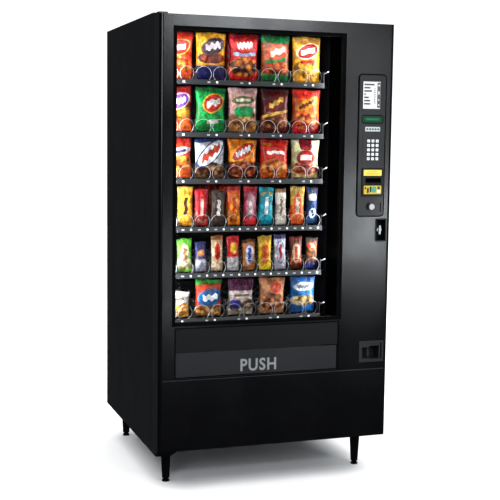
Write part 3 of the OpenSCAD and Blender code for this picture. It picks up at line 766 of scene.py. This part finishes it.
BARS = {
    3: [
        film("7c4a2c 8c5a34 6a3a24 d8b070 a87848 4c2a18"),
        film("efa52c e8a030 f0b44e edaa3a eeae44 3c2416"),
        film("b3192a c0403a c02434 c81e2e d04a48 e8b8a8 e8c0a0 a83428"),
        film("4d443c 544a42 5c524a 4a4038 584e44 e9e4dc"),
        film("e55a1e ef8a2a c42c24 ef9a30 e87424 d8481c f4b442 d86a1e"),
        film("a8324a dc3a40 c32a36 c8909c b4707c e4d4d8", split=0.22),
        film("18a2b4 179aac 26b2c0 1b9fb2 30a8b4 eef6f4", patch="d8b44c", patch_at=(0.5, 0.8),
             patch_size=(0.4, 0.05)),
        film("dcd3c6 d8cfc4 a8845c e4dcd0 d0c2ae 8c7560"),
        film("d9ac42 e2622a dcb85a d04c24 e08a34 c8c4ac f08a3c d04a22", split=0.52),
        film("143460 1a4a74 142c54 dfe6ea 4a7896 1c3c64", badge_at=(0.5, 0.3), badge_size=(0.3, 0.12),
             patch="d8d0c8", patch_at=(0.5, 0.72), patch_size=(0.36, 0.09)),
    ],
    4: [
        film("3a6c9c 4a7cac 2c5a8a e8e0d0 7c9cbc 2c4a7c"),
        film("63b438 7cc24a 5aa834 d8d8b4 a8c274 8c6844 e4dcc0 a88a5c"),
        film("2b3a72 cdcfe0 27346a d87a34 3a4a80 e8b074", badge_at=(0.5, 0.62),
             badge_size=(0.34, 0.12), split=0.42),
        film("e0c49c e6cfae b8743c cc3626 dca878 b42a20", badge_at=(0.5, 0.55),
             badge_size=(0.26, 0.24)),
        film("c71c2a d8d4d4 d8202e efb23a e0602c f4c852", badge_at=(0.55, 0.66),
             badge_size=(0.3, 0.16), split=0.4),
        film("b0703a b87a48 6c4028 c9cbe0 b89078 3a54a4"),
        film("f2c92e f4cf44 f0be28 e8822a f0b034 dc5a22", badge_size=(0.28, 0.3)),
        film("e6e6f2 e9e4ee 3c4488 d6dcf0 8a92c4 c83a3c"),
        film("58211a 6a2c1e 8c2a26 e6caa0 8c5a3c c84a34 d8803c 8c2c1e"),
        film("6a4a34 26377c 3a3432 cc3c34 a86a40 e8c8a0 c89058 7c4a2c", split=0.2,
             badge_at=(0.5, 0.74), badge_size=(0.38, 0.1), food_at=0.5, food_h=0.16),
    ],
}
# Pack sizes in millimetres, and each bar's height as a part of its row's
HEIGHTS = (182, 174, 156, 158, 144, 148)
BAG_WIDTH = 128
BAR_WIDTHS = {3: (60, 66, 58, 62, 60, 61, 66, 50, 66, 53), 4: (60, 64, 46, 51, 55, 60, 62, 54, 60, 56)}
BAR_HEIGHTS = {
    3: (1.0, 0.99, 0.93, 0.89, 1.0, 0.99, 0.97, 0.93, 0.99, 0.97),
    4: (0.95, 0.93, 0.84, 1.0, 0.98, 0.88, 0.97, 1.0, 0.93, 0.9),
}
SMALL_BAG_ROW = 5
SMALL_BAG = 0.9
LOW_BAG_H = 104
PACK_LIFT = 11
FINE_MESH = (16, 26)
COARSE_MESH = (8, 12)


def pack_shape(row, i):
    """Width and height, and side outline, of a selection's packs."""
    if is_bar(row):
        return (BAR_WIDTHS[row][i], HEIGHTS[row] * BAR_HEIGHTS[row][i]), BAR_OUTLINE
    if row != SMALL_BAG_ROW:
        return (BAG_WIDTH, HEIGHTS[row]), BAG_OUTLINE
    return (BAG_WIDTH * SMALL_BAG, HEIGHTS[row] if i else LOW_BAG_H), BAG_OUTLINE


def add_pack(bm, row, i, order, index, counts):
    """Stands a pack in its place in the spiral, counted from the front."""
    radius, pitch, _ = coil_size(row)
    size, outline = pack_shape(row, i)
    seed = 100 * row + 10 * i + order
    roll = random.Random(seed).uniform(-1.6, 1.6) * (1 if is_bar(row) else 0.6)
    place = (selection_x(row, i), COIL_FRONT + pitch * (order + 0.5), coil_axis_z(row) - radius + PACK_LIFT)
    pillow(bm, place, size, outline, seed, index, counts, roll)


def row_films(row):
    """The film of each selection in a row."""
    films = []
    for i, spec in enumerate((BARS if is_bar(row) else BAGS)[row]):
        usual = {"beat": BEATS[(2 * row + i) % len(BEATS)]} | (BAR_PRINT if is_bar(row) else {})
        films.append(print_film(f"film_{row + 1}_{i + 1}", **usual | spec))
    return films


def add_packs(row):
    """A row's packs: the fixed ones in one piece, and a working selection's riding on its queue."""
    films = row_films(row)
    shelf = bmesh.new()
    for i in range(count_of(row)):
        if (row, i) not in QUEUES:
            add_pack(shelf, row, i, 0, i, FINE_MESH)
            continue
        body, length = QUEUES[row, i]
        queue = bmesh.new()
        for order in range(length):
            add_pack(queue, row, i, order, 0, FINE_MESH if order < 2 else COARSE_MESH)
        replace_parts(piece(f"{body}_packs", queue, [films[i]], body), body)
    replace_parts(piece(f"row_{row + 1}_packs", shelf, films, "cabinet"), "snack_packs")


for row in range(TRAYS):
    add_packs(row)

# ---- Tray fittings ----

TAG_GAP = 16.5
RAIL_LEAN = math.atan2(5, RAIL_H)
TAG_FRONT = COIL_FRONT - 7.6
CATCH_R = 2.2


def price_tags():
    """On each leaning rail, a small grey tag and a round white one for every selection."""
    tags = bmesh.new()
    y = (TAG_FRONT, TAG_FRONT + 1)
    for row, top in enumerate(RAIL_TOPS):
        hinge = at(0, COIL_FRONT - 7, top)
        tilt = Matrix.Rotation(-RAIL_LEAN, 4, "X")
        lean = Matrix.Translation(hinge) @ tilt @ Matrix.Translation(-hinge)
        for i in range(count_of(row)):
            x = selection_x(row, i)
            grey = (x - TAG_GAP - 6, x - TAG_GAP + 6)
            white = (x + TAG_GAP - 4.5, x + TAG_GAP + 4.5)
            slab(tags, grey, y, (top - 13.5, top - 8), 2, 1, lean)
            slab(tags, white, y, (top - 15, top - 6), 4.4, 0, lean)
    piece("price_tags", tags, [PRICE_CARD, TAG_CARD], "cabinet", flat=True)


def tray_catches():
    """A bent wire catch at the right end of each tray: a painted reflection, standing where the coils'
    reflection in the glossy wall shows.
    """
    catches = bmesh.new()
    for top in RAIL_TOPS:
        z = top + 42
        bends = ((716, 190, z - 12), (718, 160, z - 8), (719, 130, z - 4), (722, 122, z), (728, 118, z + 4))
        tube(catches, [at(*bend) for bend in bends], CATCH_R * MM)
    piece("tray_catches", catches, [WIRE], "cabinet")


price_tags()
tray_catches()

# ---- Payment panel prints ----

# Front and back of each thin print, behind the door's face
CARD_PRINT = (-2.5, -1.9)
CARD_MARKS = (-2.8, -2.4)
COVER_SHEET = (-2.95, -2.55)
STRIP = (-3.5, -2.9)
STRIP_MARKS = (-3.8, -3.4)
LABEL = (-7.5, -6.9)
LABEL_MARKS = (-7.8, -7.4)


def card_lines():
    """Plain bars in place of the instruction card's text, with a dark strip at its right edge."""
    card = bmesh.new()
    for k, width in enumerate((44, 26, 33, 7, 20, 26, 27)):
        z = 1580 - 12.6 * k
        slab(card, (831, 831 + width), CARD_PRINT, (z - 3.1, z + 3.1), 1.2)
    for k in range(9):
        slab(card, (874, 880), CARD_PRINT, (1506 + 7 * k, 1509 + 7 * k), 0.8)
    slab(card, (888, 900), CARD_PRINT, (1490, 1588), 2)
    for z, high in ((1500, 6), (1520, 5), (1548, 14), (1577, 8)):
        slab(card, (892, 897), CARD_MARKS, (z - high / 2, z + high / 2), 2, 1)
    piece("card_lines", card, [INK, WHITE_CARD], "door", flat=True)


def card_cover():
    """The clear sheet over the instruction card."""
    (left, right), (low, high), _ = extent("instruction_card")
    cover = bmesh.new()
    slab(cover, (left + 0.5, right - 0.5), COVER_SHEET, (low + 0.5, high - 0.5), 3)
    piece("card_cover", cover, [CARD_COVER], "door", flat=True)


def panel_labels():
    """The pale strip under the display, and the two note reader labels with plain shapes on them."""
    yellow, pale, ochre, ink, teal, white = range(6)
    labels = bmesh.new()
    slab(labels, (838, 903), STRIP, (1396, 1414), 2, pale)
    slab(labels, (834, 913), LABEL, (1220, 1244), 2, yellow)
    slab(labels, (836, 913), LABEL, (1147, 1181), 2, ochre)
    for inset in (0, 8):
        z = 1228 + inset
        slab(labels, (848 + inset, 899 - inset), LABEL_MARKS, (z - 1.6, z + 1.6), 1, ochre)
    for k in range(5):
        slab(labels, (843 + 12 * k, 851 + 12 * k), STRIP_MARKS, (1402, 1408), 1, ink)
    for x, z, corner, colour in (
        ((850, 858), (1151, 1172), 3, ink), ((862, 870), (1155, 1177), 3, ink),
        ((840, 846), (1166, 1176), 3, ink), ((872, 890), (1154, 1178), 6, teal),
        ((893, 909), (1152, 1164), 4, white), ((896, 906), (1167, 1177), 2, ink),
    ):
        slab(labels, x, LABEL_MARKS, z, corner, colour)
    piece("panel_labels", labels, [YELLOW, PALE, OCHRE, INK, TEAL, WHITE_CARD], "door", flat=True)


card_lines()
card_cover()
panel_labels()

# ---- Painted shadow gaps, door seal and ledge ----


def panel_shadow_gaps():
    """Thin black frames round the payment panel, the delivery opening, the display and both labels: painted
    shadow in the gaps at their edges.
    """
    seals = bmesh.new()
    # Painted shadow: black bands stand where the gaps round these parts fall into shade.
    border(seals, (810.6, 924.4), (-1.4, 0.2), (1060.6, 1617.4), 4.6, 12)
    border(seals, (66.5, 741.5), (-0.8, 0.2), (440.5, 635.5), 3.6, 3)
    border(seals, (824, 914), (-3.7, -2.6), (1430, 1458), 3, 10)
    border(seals, (832, 915), (-7.4, -6.9), (1218, 1246), 2, 2)
    border(seals, (834, 915), (-7.4, -6.9), (1145, 1183), 2, 2)
    piece("panel_shadow_gaps", seals, [RUBBER], "door", flat=True)


def door_seal():
    """The rubber that fills the gap between the door's back and the cabinet's front."""
    seal = bmesh.new()
    border(seal, (24, 936), (96.9, 100), (182, 1794), 2, 14)
    piece("door_seal", seal, [RUBBER], "door", flat=True)


def kick_ledge():
    """The thin upper edge of the kick panel, across the door: lit by the overhead light, and lighter grey in
    colour as a painted highlight.
    """
    ledge = bmesh.new()
    slab(ledge, (15, 945), (-1.6, 0.9), (434, 437), 0.8)
    piece("kick_panel_ledge", ledge, [LEDGE_HIGHLIGHT_PAINT], "door", flat=True)


panel_shadow_gaps()
door_seal()
kick_ledge()

# ---- Lettering ----

KEY_LEGENDS = "A12B34C56D78E90"
LEGEND_HALF_W = 1.6
LEGEND_HALF_H = 2.4


def letter_mesh(text):
    """Flat-fronted letters as a mesh of their own size, read in x and y."""
    curve = bpy.data.curves.new(text, "FONT")
    curve.body = text
    curve.align_x = "CENTER"
    curve.offset = 0.026
    curve.space_character = 1.12
    curve.extrude = 0.01
    curve.resolution_u = 4
    scratch = bpy.data.objects.new(text, curve)
    link(scratch)
    bpy.context.view_layer.update()
    mesh = bpy.data.meshes.new_from_object(scratch)
    bpy.data.objects.remove(scratch)
    return mesh


def fitted(values, box):
    """Values moved and stretched so that their range fills a box."""
    low, high = min(values), max(values)
    return [box[0] + (value - low) / (high - low) * (box[1] - box[0]) for value in values]


def lettering(name, text, box_x, box_z, y, depth, material, body):
    """Raised plain letters that fill a box on a face towards the front."""
    source = letter_mesh(text)
    across, up, out = zip(*(v.co for v in source.vertices))
    raised = [y - depth * o / max(out) for o in out]
    for v, x, front, z in zip(source.vertices, fitted(across, box_x), raised, fitted(up, box_z)):
        v.co = at(x, front, z)
    letters = bmesh.new()
    letters.from_mesh(source)
    bpy.data.meshes.remove(source)
    piece(name, letters, [material], body, flat=True)


def push_letters():
    front = extent("push_flap")[2]
    lettering("push_letters", "PUSH", (331, 480), (456, 506), front - 0.1, 0.4, PUSH_INK, "push_flap")


def key_legend(i):
    """The letter or number on one key."""
    key = f"key_{i + 1}"
    x, z, front = extent(key)
    mid_x = sum(x) / 2
    mid_z = sum(z) / 2
    lettering(f"{key}_legend", KEY_LEGENDS[i], (mid_x - LEGEND_HALF_W, mid_x + LEGEND_HALF_W),
              (mid_z - LEGEND_HALF_H, mid_z + LEGEND_HALF_H), front - 0.05, 0.15, INK, key)


push_letters()
for i in range(KEYS):
    key_legend(i)

# ---- Stage ----

FLOOR_REACH = 12
COOL_WHITE = (0.93, 0.965, 1.0)
ROOM = (0.075, 0.078, 0.085, 1)
BACKDROP = (1, 1, 1, 1)

# Name, place, aim, width, height and power. The first four are seen as bands on the door's face:
# down the payment column, down the left door post and along the top. The lamps light the packs.
SOFTBOXES = (
    ("column", (1.98, -3.9, 0.78), (0.37, -0.46, 1.0), 0.36, 0.6, 22),
    ("column_top", (1.98, -3.9, 1.75), (0.37, -0.46, 1.5), 0.36, 0.9, 6),
    ("stile", (0.45, -3.9, 0.4), (-0.45, -0.46, 0.8), 0.25, 0.7, 5),
    ("rail", (1.0, -3.9, 2.3), (-0.1, -0.46, 1.8), 0.95, 0.34, 30),
    ("fill", (-2.4, -4.4, 2.0), (0, -0.3, 1.1), 1.4, 1.4, 80),
    ("back", (1.6, 3.6, 2.2), (0, 0.4, 1.0), 2.4, 2.4, 30),
    ("right", (3.6, 2.6, 1.8), (0.4, 0, 1.0), 2.2, 2.2, 30),
    ("lamp_top", (-0.08, -0.38, 1.765), (-0.08, -0.28, 0.9), 0.6, 0.04, 0.9),
    ("lamp_left", (-0.41, -0.36, 1.2), (0.1, -0.27, 1.2), 0.04, 1.05, 4.2),
    ("lamp_right", (0.262, -0.36, 1.2), (-0.2, -0.27, 1.2), 0.04, 1.05, 3),
)
OVERHEAD_ENERGY = 4.2
OVERHEAD_ANGLE = math.radians(100)


def lay_floor():
    """A pale floor, which doesn't show in the machine's gloss."""
    mesh = bpy.data.meshes.new("floor")
    mesh.from_pydata([(sx * FLOOR_REACH, sy * FLOOR_REACH, 0) for sx, sy in CORNERS], [], [(0, 1, 2, 3)])
    mesh.materials.append(surface("floor", "f4f4f4", 0.6, vary=0.01, grain=50, depth=0.0))
    floor = bpy.data.objects.new("floor", mesh)
    link(floor)
    floor.visible_glossy = False
    floor.visible_diffuse = False


def softbox(name, place, target, width, height, power):
    """A soft rectangular studio light aimed at a point."""
    data = bpy.data.lights.new(name, "AREA")
    data.shape = "RECTANGLE"
    data.size = width
    data.size_y = height
    data.energy = power
    data.color = COOL_WHITE
    light = bpy.data.objects.new(name, data)
    light.location = place
    light.rotation_euler = (Vector(target) - Vector(place)).to_track_quat("-Z", "Y").to_euler()
    link(light)


def overhead():
    """Broad light from straight above."""
    data = bpy.data.lights.new("overhead", "SUN")
    data.energy = OVERHEAD_ENERGY
    data.angle = OVERHEAD_ANGLE
    link(bpy.data.objects.new("overhead", data))


def backdrop():
    """White behind the object, and a dim room in its reflections."""
    world = bpy.data.worlds.new("studio")
    bpy.context.scene.world = world
    world.use_nodes = True
    tree = world.node_tree
    path = tree.nodes.new("ShaderNodeLightPath")
    seen = tree.nodes.new("ShaderNodeMix")
    seen.data_type = "RGBA"
    seen.inputs[6].default_value = ROOM
    seen.inputs[7].default_value = BACKDROP
    tree.links.new(path.outputs["Is Camera Ray"], seen.inputs[0])
    tree.links.new(seen.outputs[2], tree.nodes["Background"].inputs[0])


lay_floor()
for box in SOFTBOXES:
    softbox(*box)
overhead()
backdrop()
bpy.context.scene.view_settings.view_transform = "Standard"
bpy.context.scene.view_settings.look = "Medium High Contrast"

bpy.context.view_layer.update()
